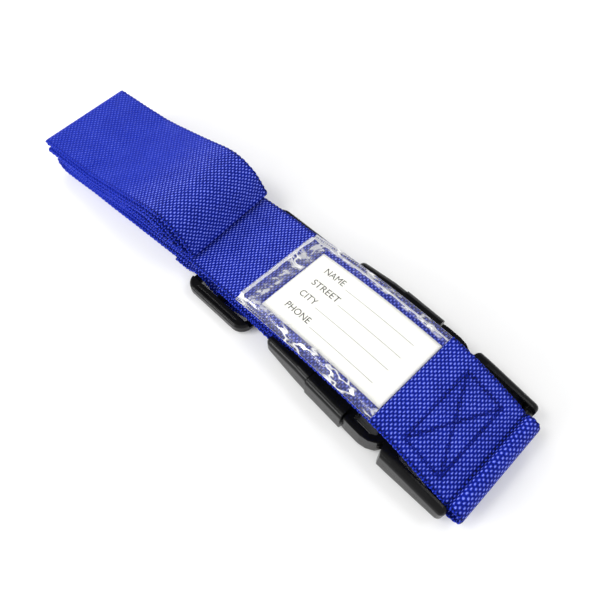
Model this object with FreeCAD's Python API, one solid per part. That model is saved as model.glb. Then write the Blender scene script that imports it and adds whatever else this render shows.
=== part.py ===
import FreeCAD, Part

import math
import os

# Packed luggage strap: 50 mm webbing closed by a side-release buckle and folded into a bundle.
# Millimetres. +X runs from the bundle to the buckle's tail, +Z is up, z = 0 is the table.
# The origin is on the table, under the middle of the socket's mouth band.

V = FreeCAD.Vector

# --- webbing -------------------------------------------------------------------------------
WEB_WIDTH = 50.0
WEB_THICK = 1.25
PLY_PITCH = 1.45  # from one ply of the bundle to the next

# --- bundle --------------------------------------------------------------------------------
BUNDLE_YAW = 6.5
BUNDLE_PIVOT = V(-101.0, -3.4, 0)
LOWEST_PLY_Z = 0.65
LOWER_FOLD_X = -184.2  # centre of the fold between the lowest and the middle plies
TOP_FOLD_X = -193.65
SECOND_FOLD_X = -191.4
TONGUE_Z = 8.6  # height of the window run where it lies in the bundle
TONGUE_END_X = -131.2
ADJUSTER_END_X = -101.0

# --- window run ----------------------------------------------------------------------------
RUN_YAW = 1.0
RUN_PIVOT = V(55.2, -0.8, 0)
ARC_RADIUS = 350.0  # the run arches over the buckle
ARC_X = 7.2
ARC_Z = 19.7 - ARC_RADIUS
ARC_FROM_X = -61.0
ARC_TO_X = 17.0
TAB_END_X = 19.6
TAIL_LOOP_RADIUS = 4.5

# --- card and window -----------------------------------------------------------------------
CARD_LENGTH = 65.2
CARD_WIDTH = 37.0
CARD_THICK = 0.3
CARD_FROM_X = -46.2
CARD_OFFSET = -0.4
FILM_FROM_X = -56.8
FILM_TO_X = 19.25
FILM_THICK = 0.25
LAY_GAP = 0.3

# --- adjuster run --------------------------------------------------------------------------
ADJUSTER_YAW = 3.0
ADJUSTER_PIVOT = V(-30.5, -1.1, 0)

# --- buckle --------------------------------------------------------------------------------
MID_Z = 6.875
BUCKLE_THICK = 13.75
PLUG_TAIL_X = -35.0
SEAM_X = -9.7
MOUTH_X = -9.4
BAND_END_X = 10.5
SHOULDER_X = 29.0
SOCKET_TAIL_X = 60.4
BAND_HALF = 31.4
CAVITY_HALF = 28.4
CAVITY_Z = 5.1
ARM_Z = 4.8
ARM_PIVOT_X = -5.5
ARM_PIVOT_Y = 24.0
ARM_ROOT = 2.4
PLUG_BAR = V(-30.5, 0, 6.9)
PLUG_BAR_RADIUS = 2.0
TAIL_BAR = V(57.4, 0, 7.0)
TAIL_BAR_RADIUS = 2.6

# --- slider --------------------------------------------------------------------------------
SLIDER_LENGTH = 37.5
SLIDER_WIDTH = 62.0
SLIDER_X = -66.75
SLIDER_OFFSET = -0.7
RAIL_WIDTH = 4.9

Z_AXIS = V(0, 0, 1)


def turned(shape, pivot, degrees):
    """The shape turned about a vertical line."""
    shape = shape.copy()
    shape.rotate(V(pivot.x, pivot.y, 0), Z_AXIS, degrees)
    return shape


def box(x0, x1, y0, y1, z0, z1):
    return Part.makeBox(x1 - x0, y1 - y0, z1 - z0, V(x0, y0, z0))


def prism(outline, z0, z1):
    """A plan outline, a list of (x, y), between two heights."""
    points = [V(x, y, z0) for x, y in outline]
    face = Part.Face(Part.makePolygon(points + points[:1]))
    return face.extrude(V(0, 0, z1 - z0))


def side_slab(profile, half_width):
    """A side profile, a list of (x, z), across the whole width."""
    points = [V(x, -half_width, z) for x, z in profile]
    face = Part.Face(Part.makePolygon(points + points[:1]))
    return face.extrude(V(0, 2 * half_width, 0))


def edges_where(shape, test):
    return [e for e in shape.Edges if test(e)]


def upright(edge):
    a, b = edge.Vertexes[0].Point, edge.Vertexes[-1].Point
    return abs(a.x - b.x) < 1e-4 and abs(a.y - b.y) < 1e-4 and abs(a.z - b.z) > 0.5


def bar_across(centre, radius, half_width):
    return Part.makeCylinder(radius, 2 * half_width, V(centre.x, -half_width, centre.z), V(0, 1, 0))


# --- webbing paths -------------------------------------------------------------------------


def arc_points(cx, cz, radius, start, end, step=18.0):
    """Points of an arc in the side plane, angles in degrees."""
    count = max(2, math.ceil(abs(end - start) / step))
    angles = [math.radians(start + (end - start) * i / count) for i in range(count + 1)]
    return [(cx + radius * math.cos(a), cz + radius * math.sin(a)) for a in angles]


def smooth_line(knots):
    """A curve in the side plane through the knots, its parameter about its length. Long steps stay straight."""
    points = [V(knots[0][0], 0, knots[0][1])]
    for x, z in knots[1:]:
        start, end = points[-1], V(x, 0, z)
        step = (end - start).Length
        count = math.ceil(step / 4.0) if step > 9.0 else 1
        points += [start + (end - start) * (i / count) for i in range(1, count + 1)]
    along = [0.0]
    for a, b in zip(points, points[1:]):
        along.append(along[-1] + (b - a).Length)
    curve = Part.BSplineCurve()
    curve.interpolate(Points=points, Parameters=along)
    return curve, along[-1]


def arc_or_line(a, b, c):
    """An edge through three points."""
    if (b - a).cross(c - b).Length < 1e-5:
        return Part.makeLine(a, c)
    return Part.Arc(a, b, c).toShape()


def ribbon(knots, spacing=1.0, width=WEB_WIDTH):
    """Webbing of constant thickness along a path in the side plane, centred on y = 0."""
    curve, length = smooth_line(knots)
    count = 2 * max(4, int(length / spacing / 2))
    above, below = [], []
    for i in range(count + 1):
        u = length * i / count
        p = curve.value(u)
        t = curve.tangent(u)[0]
        n = V(-t.z, 0, t.x) * (WEB_THICK / 2)
        above.append(p + n)
        below.append(p - n)
    edges = [arc_or_line(*above[i : i + 3]) for i in range(0, count, 2)]
    edges.append(Part.makeLine(above[-1], below[-1]))
    back = below[::-1]
    edges += [arc_or_line(*back[i : i + 3]) for i in range(0, count, 2)]
    edges.append(Part.makeLine(below[0], above[0]))
    face = Part.Face(Part.Wire(edges))
    face.translate(V(0, -width / 2, 0))
    return face.extrude(V(0, width, 0))


def ply_z(level, place):
    """Height of a ply: level 0 to 2, place 0 to 3 from the bottom."""
    return LOWEST_PLY_Z + PLY_PITCH * (4 * level + place)


def right_loop(nest):
    """The turn at the bundle's right end, from the top plies to the middle ones; 0 is the outermost."""
    n, top = nest, ply_z(2, 3 - nest)
    low = TONGUE_Z + 1.8 + (PLY_PITCH + 0.1) * n
    lift = 0.9 * (1 - n / 3)
    tip_x, tip_z = -91.5 - 4.8 * n - 0.35 * n**2, low + lift + 1.3
    upper = [(-175, top), (-160, top + 0.3), (-150, top + 1.9), (-137, top + 4.4 - 0.15 * n)]
    crown = [(-123 - 1.5 * n, 24.0 - 1.9 * n), (-115 - 2.2 * n, 25.7 - 2.1 * n)]
    crown += [(-107 - 3.7 * n, 25.9 - 2.2 * n), (-100 - 4.8 * n, 23.4 - 1.8 * n)]
    tip = arc_points(tip_x, tip_z, 1.3, 50, -90)
    bulge = 0.55 * (1 - n / 3)
    drop = [((crown[-1][0] + tip[0][0]) / 2 + bulge, (crown[-1][1] + tip[0][1]) / 2 + bulge)]
    lower = [(tip_x - 7, low + 0.15), (-134, low - 0.1)]
    ramp = [(-146, low - 2.0), (-157, ply_z(1, n)), (-168, ply_z(1, n))]
    return upper + crown + drop + tip + lower + ramp


def lower_fold(nest):
    """The turn at the left between the middle plies and the lowest ones; 0 is the innermost."""
    centre = (ply_z(0, 3) + ply_z(1, 0)) / 2
    radius = PLY_PITCH * (nest + 0.5)
    return arc_points(LOWER_FOLD_X, centre, radius, 90, 270)


def top_fold(x, lower_place):
    """The turn at the left end that joins two of the top plies, from the upper one down."""
    centre = (ply_z(2, lower_place) + ply_z(2, lower_place + 1)) / 2
    return arc_points(x, centre, PLY_PITCH / 2, 90, 270)


def bundle_path():
    """Twelve plies: two strands folded in half and then in three."""
    low_run = [(-168, ply_z(0, 3)), (-157, ply_z(0, 3) - 0.05), (-146, 6.9), (-134, TONGUE_Z)]
    path = low_run[::-1] + lower_fold(0)[::-1] + right_loop(0)[::-1]
    path += top_fold(TOP_FOLD_X, 2) + right_loop(1) + lower_fold(1)
    path += [(-168, ply_z(0, 2)), (-157, ply_z(0, 2)), (-134, 5.9), (-112, 6.5)]
    path += arc_points(-97.0, 4.5, 2.05, 90, -90)
    path += [(-112, 2.3), (-130, ply_z(0, 1)), (-165, ply_z(0, 1))]
    path += lower_fold(2)[::-1] + right_loop(2)[::-1]
    path += top_fold(SECOND_FOLD_X, 0) + right_loop(3) + lower_fold(3)
    path += [(-165, ply_z(0, 0)), (-130, ply_z(0, 0)), (-92, ply_z(0, 0))]
    return path


def run_path():
    """From inside the bundle, over the buckle, round the socket's tail bar and back as the tab."""
    tongue = [(TONGUE_END_X, TONGUE_Z), (-120, TONGUE_Z), (-105, TONGUE_Z), (-97, TONGUE_Z)]
    rise = [(-90, 9.6), (-85, 10.4), (-77, 11.5), (-73, 11.95), (-67, 12.45)]
    steps = [ARC_FROM_X + (ARC_TO_X - ARC_FROM_X) * i / 8 for i in range(9)]
    arch = [(x, ARC_Z + math.sqrt(ARC_RADIUS**2 - (x - ARC_X) ** 2)) for x in steps]
    fall = [(20, 19.3), (24, 18.9), (30, 17.95), (38, 15.85), (44, 13.6), (48.2, 11.3), (51.2, 8.6), (53.2, 5.6)]
    fall += [(55.4, 3.4), (58, 2.75)]
    loop = arc_points(TAIL_BAR.x + 3.6, TAIL_BAR.z, TAIL_LOOP_RADIUS, -90, 92)
    tab = [(59.3, 10.6), (57.7, 11.35), (55, 12.3), (51, 13.5), (46, 15.1), (38, 17.6), (30, 19.6), (24, 20.5)]
    return tongue + rise + arch + fall + loop + tab + [(TAB_END_X, 20.9)]


def adjuster_path():
    """From the bundle over, under and over the slider's bars, round the plug's bar and back."""
    entry = [(ADJUSTER_END_X - 6, LOWEST_PLY_Z), (ADJUSTER_END_X, LOWEST_PLY_Z), (-95, 1.0), (-90, 2.6), (-87, 4.5), (-84, 5.2)]
    under = [(-80, 4.2), (-75.5, 1.4), (-71, 0.8), (-65, 0.8), (-60.6, 1.1)]
    over = [(-56.5, 3.2), (-53, 4.9), (-50, 5.2), (-46, 5.1), (-39, 4.3), (-34, 3.95)]
    turn = arc_points(PLUG_BAR.x + 1.3, PLUG_BAR.z, PLUG_BAR_RADIUS + 1.0, -90, 90)
    back = [(-34, 9.85), (-40, 8.9), (-48, 7.4), (-55, 6.9), (-62, 6.5), (-67, 6.4)]
    wrap = [(-70.0, 6.0), (-71.4, 4.4), (-70.2, 2.8), (-67, 2.3), (-63.2, 2.3)]
    return entry + under + over + turn + back + wrap


def webbing_bundle():
    bundle = ribbon(bundle_path(), 0.6).translated(V(0, BUNDLE_PIVOT.y, 0))
    past_end = box(ADJUSTER_END_X, -80, -80, 80, -1, 1.6)
    return turned(bundle, BUNDLE_PIVOT, BUNDLE_YAW).cut(past_end)


def webbing_window_run():
    return turned(ribbon(run_path(), 0.9).translated(V(0, RUN_PIVOT.y, 0)), RUN_PIVOT, RUN_YAW)


def webbing_adjuster_run():
    run = ribbon(adjuster_path(), 0.7).translated(V(0, ADJUSTER_PIVOT.y, 0))
    run = turned(run, ADJUSTER_PIVOT, ADJUSTER_YAW)
    return run.cut(box(-110, ADJUSTER_END_X + 0.05, -80, 80, -5, 30))


# --- card, window and stitches -------------------------------------------------------------


def arch_angle(x):
    """Angle about the arch's axis, in degrees, of a place along the run."""
    return math.degrees(math.asin((x - ARC_X) / ARC_RADIUS))


def arched(section, x0, x1):
    """A section, a list of (y, height over the run's top face), swept along the arch."""
    base = ARC_RADIUS + WEB_THICK / 2
    points = [V(ARC_X, RUN_PIVOT.y + y, ARC_Z + base + h) for y, h in section]
    face = Part.Face(Part.makePolygon(points + points[:1]))
    centre, axis = V(ARC_X, 0, ARC_Z), V(0, 1, 0)
    face.rotate(centre, axis, arch_angle(x0))
    solid = face.revolve(centre, axis, arch_angle(x1) - arch_angle(x0))
    return turned(solid, RUN_PIVOT, RUN_YAW)


def id_card():
    y0, y1 = CARD_OFFSET - CARD_WIDTH / 2, CARD_OFFSET + CARD_WIDTH / 2
    h0, h1 = LAY_GAP, LAY_GAP + CARD_THICK
    return arched([(y0, h0), (y1, h0), (y1, h1), (y0, h1)], CARD_FROM_X, CARD_FROM_X + CARD_LENGTH)


def id_window():
    roof = 2 * LAY_GAP + CARD_THICK
    foot, wall, edge = 0.04, 22.0, 24.6
    under = [(-edge, foot), (-wall - 0.6, foot), (-wall, roof), (wall, roof), (wall + 0.6, foot), (edge, foot)]
    over = [(y, h + FILM_THICK) for y, h in under[::-1]]
    return arched(under + over, FILM_FROM_X, FILM_TO_X)


def stitch_on(curve, length, x, y, heading, mark=2.0):
    """One thread mark lying on the top face of a run whose path is the curve."""
    low, high = 0.0, length
    for _ in range(40):
        middle = (low + high) / 2
        if curve.value(middle).x > x:
            low = middle
        else:
            high = middle
    p = curve.value(low)
    t = curve.tangent(low)[0]
    tilt = math.degrees(math.atan2(t.z, t.x)) - 180
    bit = box(-mark / 2, mark / 2, -0.3, 0.3, WEB_THICK / 2 + 0.05, WEB_THICK / 2 + 0.4)
    bit.rotate(V(0, 0, 0), Z_AXIS, heading)
    bit.rotate(V(0, 0, 0), V(0, 1, 0), -tilt)
    return bit.translated(V(p.x, y, p.z))


def stitch_line(curve, length, start, end, pitch=2.6):
    span = math.hypot(end[0] - start[0], end[1] - start[1])
    heading = math.degrees(math.atan2(end[1] - start[1], end[0] - start[0]))
    count = int(span / pitch)
    marks = []
    for i in range(count):
        f = (i + 0.5) / count
        x = start[0] + (end[0] - start[0]) * f
        y = start[1] + (end[1] - start[1]) * f
        marks.append(stitch_on(curve, length, x, y, heading))
    return marks


def tab_stitching():
    """A box with both diagonals, sewn through the tab and the run."""
    tab = [k for k in run_path() if k[1] > 12.0][-7:]
    curve, length = smooth_line(tab)
    x0, x1, y0, y1 = 32.6, 50.5, -20.2, 17.4
    corners = [(x0, y0), (x1, y0), (x1, y1), (x0, y1)]
    marks = []
    for a, b in zip(corners, corners[1:] + corners[:1]):
        marks += stitch_line(curve, length, a, b)
    gap = 2.4
    for a, b in (((x0, y0), (x1, y1)), ((x0, y1), (x1, y0))):
        span = math.hypot(b[0] - a[0], b[1] - a[1])
        ux, uy = (b[0] - a[0]) / span, (b[1] - a[1]) / span
        half = span / 2 - gap
        for s in (-1, 1):
            mid = ((a[0] + b[0]) / 2, (a[1] + b[1]) / 2)
            near = (mid[0] + s * ux * gap / 2, mid[1] + s * uy * gap / 2)
            far = (mid[0] + s * ux * half, mid[1] + s * uy * half)
            marks += stitch_line(curve, length, near, far)
    return turned(Part.makeCompound(marks).translated(V(0, RUN_PIVOT.y, 0)), RUN_PIVOT, RUN_YAW)


def slider_loop_stitching():
    """Two rows that close the sewn loop round the slider's middle bar."""
    back = [k for k in adjuster_path() if k[1] > 6.3 and k[0] < -33]
    curve, length = smooth_line(back)
    marks = []
    for x in (-62.5, -60.0):
        marks += stitch_line(curve, length, (x, -22), (x, 22))
    stitches = Part.makeCompound(marks).translated(V(0, ADJUSTER_PIVOT.y, 0))
    return turned(stitches, ADJUSTER_PIVOT, ADJUSTER_YAW)


# --- buckle --------------------------------------------------------------------------------


def plug_hull():
    """The plug's base: rounded tail corners, thicker towards the seam."""
    tail, seam = 29.7, 30.6
    outline = [(PLUG_TAIL_X, -tail), (SEAM_X, -seam), (SEAM_X, seam), (PLUG_TAIL_X, tail)]
    hull = prism(outline, 0, BUCKLE_THICK)
    corners = edges_where(hull, lambda e: upright(e) and e.Vertexes[0].X < PLUG_TAIL_X + 1)
    hull = hull.makeFillet(2.6, corners)
    profile = [
        (PLUG_TAIL_X - 1, MID_Z - 4.0),
        (PLUG_TAIL_X + 19, 0),
        (SEAM_X + 1, 0),
        (SEAM_X + 1, BUCKLE_THICK),
        (PLUG_TAIL_X + 19, BUCKLE_THICK),
        (PLUG_TAIL_X - 1, MID_Z + 4.0),
    ]
    hull = hull.common(side_slab(profile, 40))
    rims = edges_where(hull, lambda e: not upright(e) and e.BoundBox.XMin < SEAM_X - 0.5)
    long_rims = [e for e in rims if e.BoundBox.XLength > 1 and abs(e.BoundBox.Center.y) > 27]
    return hull.makeFillet(2.6, long_rims)


def buckle_plug():
    hull = plug_hull()
    slot = box(PLUG_TAIL_X - 5, -23.5, -26.4, 26.4, -1, 20)
    body = hull.cut(slot).fuse(bar_across(PLUG_BAR, PLUG_BAR_RADIUS, 27.5))
    neck = box(SEAM_X - 1, ARM_PIVOT_X, -27.9, 27.9, MID_Z - ARM_Z, MID_Z + ARM_Z)
    guide = prism([(ARM_PIVOT_X - 1, -4), (20, -4), (23.5, -2), (23.5, 2), (20, 4), (ARM_PIVOT_X - 1, 4)],
                  MID_Z - 3.0, MID_Z + 3.0)
    body = body.fuse(neck).fuse(guide)
    for side in (-1, 1):
        seat = V(ARM_PIVOT_X, side * ARM_PIVOT_Y, 0)
        body = body.cut(Part.makeCylinder(ARM_ROOT + 0.08, 20, seat))
        body = body.cut(box(ARM_PIVOT_X - 0.5, 0, seat.y - 3.2, seat.y + 3.2, 0, 14))
    return body.removeSplitter()


def latch_arm(side):
    """A springing arm with its shouldered press tab; side is -1 or 1."""
    outline = [
        (ARM_PIVOT_X, 21.6),
        (8.0, 22.2),
        (24.0, 22.6),
        (27.6, 23.6),
        (28.2, 25.2),
        (26.8, 27.6),
        (23.6, 29.6),
        (20.0, 30.3),
        (13.0, 30.3),
        (10.9, 30.0),
        (10.9, 27.4),
        (8.5, 26.4),
        (ARM_PIVOT_X, 26.4),
    ]
    arm = prism([(x, side * y) for x, y in outline], MID_Z - ARM_Z, MID_Z + ARM_Z)
    nose = edges_where(arm, lambda e: upright(e) and e.Vertexes[0].X > 19)
    arm = arm.makeFillet(0.9, nose)
    hollow = prism([(13.5, side * 23.6), (23.5, side * 23.9), (24.6, side * 25.4), (22.4, side * 26.9),
                    (13.5, side * 26.9)], MID_Z - 10, MID_Z + 10)
    root = Part.makeCylinder(ARM_ROOT, 2 * ARM_Z, V(ARM_PIVOT_X, side * ARM_PIVOT_Y, MID_Z - ARM_Z))
    arm = arm.cut(hollow).fuse(root)
    return arm.removeSplitter()


def socket_hull():
    """The socket's outside: mouth band, waist between the press tabs, tail frame."""
    half = [
        (MOUTH_X, BAND_HALF - 0.2),
        (BAND_END_X, BAND_HALF),
        (BAND_END_X, 22.0),
        (24.5, 22.0),
        (28.0, 24.5),
        (SHOULDER_X + 0.2, 28.5),
        (SHOULDER_X + 1.6, 30.9),
        (SOCKET_TAIL_X, 30.1),
    ]
    outline = half + [(x, -y) for x, y in half[::-1]]
    hull = prism(outline, 0, BUCKLE_THICK)
    tail = edges_where(hull, lambda e: upright(e) and e.Vertexes[0].X > SOCKET_TAIL_X - 1)
    waist = edges_where(
        hull,
        lambda e: upright(e) and abs(e.Vertexes[0].X - BAND_END_X) < 0.1 and abs(e.Vertexes[0].Y) < 25,
    )
    hull = hull.makeFillet(2.2, tail).makeFillet(1.5, waist)
    profile = [
        (MOUTH_X - 1, 0),
        (35, 0),
        (SOCKET_TAIL_X + 1, MID_Z - 4.9),
        (SOCKET_TAIL_X + 1, MID_Z + 4.9),
        (35, BUCKLE_THICK),
        (MOUTH_X - 1, BUCKLE_THICK),
    ]
    hull = hull.common(side_slab(profile, 40))
    rims = [
        e
        for e in hull.Edges
        if not upright(e)
        and abs(e.BoundBox.Center.y) > 26
        and e.BoundBox.XLength > 1.0
        and (e.BoundBox.XMax < BAND_END_X + 0.5 or e.BoundBox.XMin > SHOULDER_X + 1.0)
    ]
    return hull.makeFillet(2.6, rims)


def buckle_socket():
    hull = socket_hull()
    cavity = box(MOUTH_X - 1, 25.5, -CAVITY_HALF, CAVITY_HALF, MID_Z - CAVITY_Z, MID_Z + CAVITY_Z)
    body = hull.cut(cavity)
    # Room for the arm's end, both at rest and pressed in.
    room = [(BAND_END_X, 18.2), (28.8, 18.2), (29.4, 22.9), (29.4, 26.0), (28.0, 40.0), (BAND_END_X, 40.0)]
    for s in (-1, 1):
        body = body.cut(prism([(x, s * y) for x, y in room], MID_Z - CAVITY_Z, MID_Z + CAVITY_Z))
    slot = box(35.0, SOCKET_TAIL_X + 5, -26.7, 26.7, -1, 20)
    body = body.cut(slot).fuse(bar_across(TAIL_BAR, TAIL_BAR_RADIUS, 27.5))
    for s in (-1, 1):
        rib = box(-2.0, 25.8, min(s * 4.6, s * 6.2), max(s * 4.6, s * 6.2), 1.0, BUCKLE_THICK - 1.0)
        body = body.fuse(rib)
    mouth = box(MOUTH_X - 1, MOUTH_X + 0.5, -CAVITY_HALF - 0.5, CAVITY_HALF + 0.5,
                MID_Z - CAVITY_Z - 0.5, MID_Z + CAVITY_Z + 0.5)
    return body.cut(mouth).removeSplitter()


# --- slider --------------------------------------------------------------------------------


def strap_slider():
    """Three-bar slider: two rails, two low end bars and a raised middle bar."""
    half_l, half_w = SLIDER_LENGTH / 2, SLIDER_WIDTH / 2
    plate = box(SLIDER_X - half_l, SLIDER_X + half_l, -half_w, half_w, 0.9, 6.1)
    plate = plate.makeFillet(6.0, edges_where(plate, upright))
    inner = half_w - RAIL_WIDTH
    window = box(SLIDER_X - half_l + 3.6, SLIDER_X + half_l - 3.6, -inner, inner, -1, 10)
    window = window.makeFillet(1.5, edges_where(window, upright))
    frame = plate.cut(window)
    rims = edges_where(frame, lambda e: not upright(e) and e.BoundBox.ZLength < 0.01)
    outer = [e for e in rims if abs(e.BoundBox.Center.y) > inner + 1 or e.BoundBox.YLength > 55]
    frame = frame.makeFillet(1.2, outer)
    for x0, x1 in ((SLIDER_X - half_l - 1, SLIDER_X - half_l + 6), (SLIDER_X + half_l - 6, SLIDER_X + half_l + 1)):
        frame = frame.cut(box(x0, x1, -inner, inner, 3.6, 10))
    middle = box(SLIDER_X - 2.6, SLIDER_X + 1.7, -inner - 1, inner + 1, 3.2, 5.4)
    middle = middle.makeFillet(0.8, [e for e in middle.Edges if e.BoundBox.YLength > 10])
    for s in (-1, 1):
        y = s * (half_w - RAIL_WIDTH / 2)
        groove = box(SLIDER_X - half_l + 6, SLIDER_X + half_l - 6, y - 0.4, y + 0.4, 5.8, 7)
        frame = frame.cut(groove)
    slider = frame.fuse(middle).removeSplitter()
    return turned(slider.translated(V(0, ADJUSTER_PIVOT.y + SLIDER_OFFSET, 0)), ADJUSTER_PIVOT, ADJUSTER_YAW)


PARTS = {
    "buckle_socket": buckle_socket,
    "buckle_plug": buckle_plug,
    "latch_arm_left": lambda: latch_arm(1),
    "latch_arm_right": lambda: latch_arm(-1),
    "strap_slider": strap_slider,
    "webbing_window_run": webbing_window_run,
    "webbing_adjuster_run": webbing_adjuster_run,
    "webbing_bundle": webbing_bundle,
    "id_window": id_window,
    "id_card": id_card,
    "tab_stitching": tab_stitching,
    "slider_loop_stitching": slider_loop_stitching,
}


def main():
    os.makedirs("parts", exist_ok=True)
    for name, make in PARTS.items():
        shape = make()
        if not shape.isValid():
            raise ValueError(name + " isn't a valid solid")
        print(name, len(shape.Solids), round(shape.Volume / 1000, 2), "cm3")
        shape.exportStep("parts/" + name + ".step")


main()
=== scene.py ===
import math

import bpy
import numpy as np
from mathutils import Matrix, Vector, noise


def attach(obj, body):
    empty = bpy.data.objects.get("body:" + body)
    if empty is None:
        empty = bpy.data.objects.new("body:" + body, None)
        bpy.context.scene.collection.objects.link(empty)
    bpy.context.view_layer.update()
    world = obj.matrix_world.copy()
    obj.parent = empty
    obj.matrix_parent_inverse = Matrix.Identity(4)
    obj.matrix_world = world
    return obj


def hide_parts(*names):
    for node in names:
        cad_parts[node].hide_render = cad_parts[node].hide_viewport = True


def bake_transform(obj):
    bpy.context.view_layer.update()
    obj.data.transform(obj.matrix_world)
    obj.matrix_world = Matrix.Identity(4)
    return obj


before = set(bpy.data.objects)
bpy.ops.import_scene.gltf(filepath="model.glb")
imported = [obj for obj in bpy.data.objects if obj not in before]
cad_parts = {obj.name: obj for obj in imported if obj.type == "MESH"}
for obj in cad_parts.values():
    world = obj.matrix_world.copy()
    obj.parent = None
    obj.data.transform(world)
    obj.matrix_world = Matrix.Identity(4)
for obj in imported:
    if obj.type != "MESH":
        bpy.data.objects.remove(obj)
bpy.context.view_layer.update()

MM = 0.001

# Driving dimensions, in millimetres and degrees. A turn is an upright line's x and y and an angle.
WEB_WIDTH = 50.0
WEB_THICK = 1.25
PLY_PITCH = 1.45
LOWEST_PLY_Z = 0.65
LOWER_FOLD_X = -184.2
TOP_FOLD_X = -193.65
SECOND_FOLD_X = -191.4
TONGUE_Z = 8.6
TONGUE_END_X = -131.2
BUNDLE_TURN = ((-101.0, -3.4), 6.5)
RUN_TURN = ((55.2, -0.8), 1.0)
ADJUSTER_TURN = ((-30.5, -1.1), 3.0)
ADJUSTER_END_X = -101.0
ADJUSTER_SPLIT = 42.0
ARC_RADIUS = 350.0
ARC_FROM_X, ARC_TO_X = -61.0, 17.0
ARC_X = 7.2
ARC_Z = 19.7 - ARC_RADIUS
CARD_FROM_X, CARD_LENGTH, CARD_WIDTH, CARD_THICK, CARD_OFFSET = -46.2, 65.2, 37.0, 0.3, -0.4
FILM_FROM_X, FILM_TO_X, FILM_THICK = -56.8, 19.2, 0.22
LAY_GAP = 0.3
MID_Z = 6.875
TAIL_BAR_X, TAIL_BAR_Z, TAIL_LOOP_RADIUS = 57.4, 7.0, 4.5
PLUG_BAR_X, PLUG_BAR_Z, PLUG_LOOP_RADIUS = -30.5, 6.9, 3.0
TAB_END_X = 19.6
SEW_X0, SEW_X1, SEW_Y0, SEW_Y1 = 32.6, 50.5, -20.2, 17.4
ROLL_CREASE_X = 58.3
SLIDER_SEAMS_X = (-62.5, -60.0)
STITCH_PITCH, STITCH_RADIUS, SEAM_DEPTH = 2.6, 0.24, 0.24
WEB_SPACING = 0.6
FLOOR_Z, FLOOR_REACH = -0.6, 6000

# The weave: how far apart its rows, its columns and the ribs of its selvages lie.
ROW_PITCH = 1.05
COLUMN_PITCH = 1.16
RIB_PITCH = 1.3

# The blue dye tints the gloss of webbing and thread alike.
BLUE_GLOSS = (0.35, 0.45, 1.0, 1.0)


# --- small helpers ---------------------------------------------------------------------------


def wobble(x, y=0.0, z=0.0):
    """A smooth repeatable noise between about -1 and 1."""
    return noise.noise(Vector((x, y, z)))


def turned(points, turn):
    """An array of points turned about an upright line."""
    (px, py), degrees = turn
    a = math.radians(degrees)
    out = points.copy()
    dx, dy = points[:, 0] - px, points[:, 1] - py
    out[:, 0] = px + dx * math.cos(a) - dy * math.sin(a)
    out[:, 1] = py + dx * math.sin(a) + dy * math.cos(a)
    return out


def smoothstep(low, high, x):
    t = np.clip((x - low) / (high - low), 0, 1)
    return t * t * (3 - 2 * t)


def make_object(name, points, faces, material, smooth=True):
    """A mesh object from points in millimetres."""
    mesh = bpy.data.meshes.new(name)
    mesh.from_pydata([tuple(p) for p in np.asarray(points) * MM], [], faces)
    mesh.validate()
    mesh.polygons.foreach_set("use_smooth", [smooth] * len(mesh.polygons))
    mesh.materials.append(material)
    mesh.update()
    obj = bpy.data.objects.new(name, mesh)
    bpy.context.scene.collection.objects.link(obj)
    return obj


# --- node helpers ----------------------------------------------------------------------------


class Shader:
    """A material with one Principled shader, and short calls for its nodes."""

    def __init__(self, name, **settings):
        self.material = bpy.data.materials.new(name)
        self.material.use_nodes = True
        self.tree = self.material.node_tree
        self.bsdf = self.tree.nodes["Principled BSDF"]
        self.output = self.tree.nodes["Material Output"]
        for key, value in settings.items():
            self.bsdf.inputs[key.replace("_", " ")].default_value = value

    def node(self, kind, **settings):
        n = self.tree.nodes.new(kind)
        for key, value in settings.items():
            setattr(n, key, value)
        return n

    def put(self, socket, value):
        if isinstance(value, bpy.types.NodeSocket):
            self.tree.links.new(value, socket)
        else:
            socket.default_value = value

    def place(self):
        return self.node("ShaderNodeTexCoord").outputs["Object"]

    def split(self, vector):
        n = self.node("ShaderNodeSeparateXYZ")
        self.put(n.inputs[0], vector)
        return n.outputs

    def math(self, operation, a, b=0.0, c=0.0, clamp=False):
        n = self.node("ShaderNodeMath", operation=operation, use_clamp=clamp)
        for socket, value in zip(n.inputs, (a, b, c)):
            self.put(socket, value)
        return n.outputs[0]

    def noise(self, vector, scale, detail=2.0, stretch=None):
        if stretch:
            m = self.node("ShaderNodeMapping")
            self.put(m.inputs["Vector"], vector)
            m.inputs["Scale"].default_value = stretch
            vector = m.outputs[0]
        n = self.node("ShaderNodeTexNoise")
        self.put(n.inputs["Vector"], vector)
        n.inputs["Scale"].default_value = scale
        n.inputs["Detail"].default_value = detail
        return n.outputs["Fac"]

    def ramp(self, value, stops):
        n = self.node("ShaderNodeValToRGB")
        self.put(n.inputs["Fac"], value)
        elements = n.color_ramp.elements
        while len(elements) < len(stops):
            elements.new(0.5)
        for element, (place, colour) in zip(elements, stops):
            element.position = place
            element.color = (*colour, 1.0)
        return n.outputs["Color"]

    def span(self, value, low, high, to_low, to_high):
        n = self.node("ShaderNodeMapRange")
        self.put(n.inputs["Value"], value)
        for key, v in zip(("From Min", "From Max", "To Min", "To Max"), (low, high, to_low, to_high)):
            n.inputs[key].default_value = v
        return n.outputs["Result"]

    def bump(self, height, distance, strength=1.0, normal=None):
        n = self.node("ShaderNodeBump")
        n.inputs["Strength"].default_value = strength
        n.inputs["Distance"].default_value = distance
        self.put(n.inputs["Height"], height)
        if normal is not None:
            self.put(n.inputs["Normal"], normal)
        return n.outputs["Normal"]


# --- materials -------------------------------------------------------------------------------


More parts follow.
